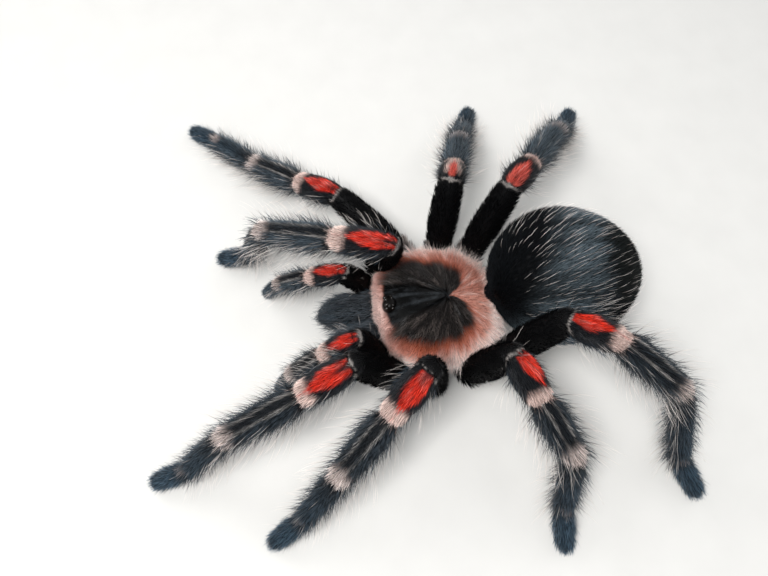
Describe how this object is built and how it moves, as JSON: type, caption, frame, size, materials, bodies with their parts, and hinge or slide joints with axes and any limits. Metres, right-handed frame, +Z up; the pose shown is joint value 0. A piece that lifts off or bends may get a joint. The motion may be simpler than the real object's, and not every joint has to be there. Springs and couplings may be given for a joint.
{
  "type": "red knee tarantula",
  "caption": "Life-size still model of a red knee tarantula, legs spread and feet on the floor, with flame-red knee patches and a bristly black coat.",
  "frame": {"origin": "on the floor, under the middle of the model's bounding box", "axes": "+Z up from the floor, the head looks along -Y, the spider's left side is +X"},
  "size_m": [0.1138, 0.111, 0.0294],
  "materials": {
    "carapace_shell": "hard shell under short dense hair, salmon border round black lobes",
    "eye_mound": "glossy black mound and eyes",
    "black_coat": "bristly black to blue-grey coat with long pale-tipped hairs",
    "femur_velvet": "short velvet black coat",
    "knee_coat": "flame-red hair patch with black flanks and a pale band",
    "abdomen_coat": "black velvet with a blue-grey sheen and long pale hairs that lean back",
    "jaw_coat": "dark steel-grey short hair",
    "fang_horn": "polished black-brown horn"
  },
  "bodies": {
    "root": {"carapace": "carapace_shell", "sternum": "black_coat", "eye_tubercle": "eye_mound", "abdomen": "abdomen_coat", "spinneret_l": "abdomen_coat", "spinneret_r": "abdomen_coat", "chelicera_l": "jaw_coat", "chelicera_r": "jaw_coat", "fang_l": "fang_horn", "fang_r": "fang_horn", "leg_l1_coxa": "black_coat", "leg_l1_femur": "femur_velvet", "leg_l1_patella": "knee_coat", "leg_l1_tibia": "black_coat", "leg_l1_foot": "black_coat", "leg_l2_coxa": "black_coat", "leg_l2_femur": "femur_velvet", "leg_l2_patella": "knee_coat", "leg_l2_tibia": "black_coat", "leg_l2_foot": "black_coat", "leg_l3_coxa": "black_coat", "leg_l3_femur": "femur_velvet", "leg_l3_patella": "knee_coat", "leg_l3_tibia": "black_coat", "leg_l3_foot": "black_coat", "leg_l4_coxa": "black_coat", "leg_l4_femur": "femur_velvet", "leg_l4_patella": "knee_coat", "leg_l4_tibia": "black_coat", "leg_l4_foot": "black_coat", "leg_r1_coxa": "black_coat", "leg_r1_femur": "femur_velvet", "leg_r1_patella": "knee_coat", "leg_r1_tibia": "black_coat", "leg_r1_foot": "black_coat", "leg_r2_coxa": "black_coat", "leg_r2_femur": "femur_velvet", "leg_r2_patella": "knee_coat", "leg_r2_tibia": "black_coat", "leg_r2_foot": "black_coat", "leg_r3_coxa": "black_coat", "leg_r3_femur": "femur_velvet", "leg_r3_patella": "knee_coat", "leg_r3_tibia": "black_coat", "leg_r3_foot": "black_coat", "leg_r4_coxa": "black_coat", "leg_r4_femur": "femur_velvet", "leg_r4_patella": "knee_coat", "leg_r4_tibia": "black_coat", "leg_r4_foot": "black_coat", "palp_l_coxa": "black_coat", "palp_l_femur": "femur_velvet", "palp_l_patella": "knee_coat", "palp_l_tibia": "black_coat", "palp_l_tarsus": "black_coat", "palp_r_coxa": "black_coat", "palp_r_femur": "femur_velvet", "palp_r_patella": "knee_coat", "palp_r_tibia": "black_coat", "palp_r_tarsus": "black_coat"}
  },
  "joints": []
}
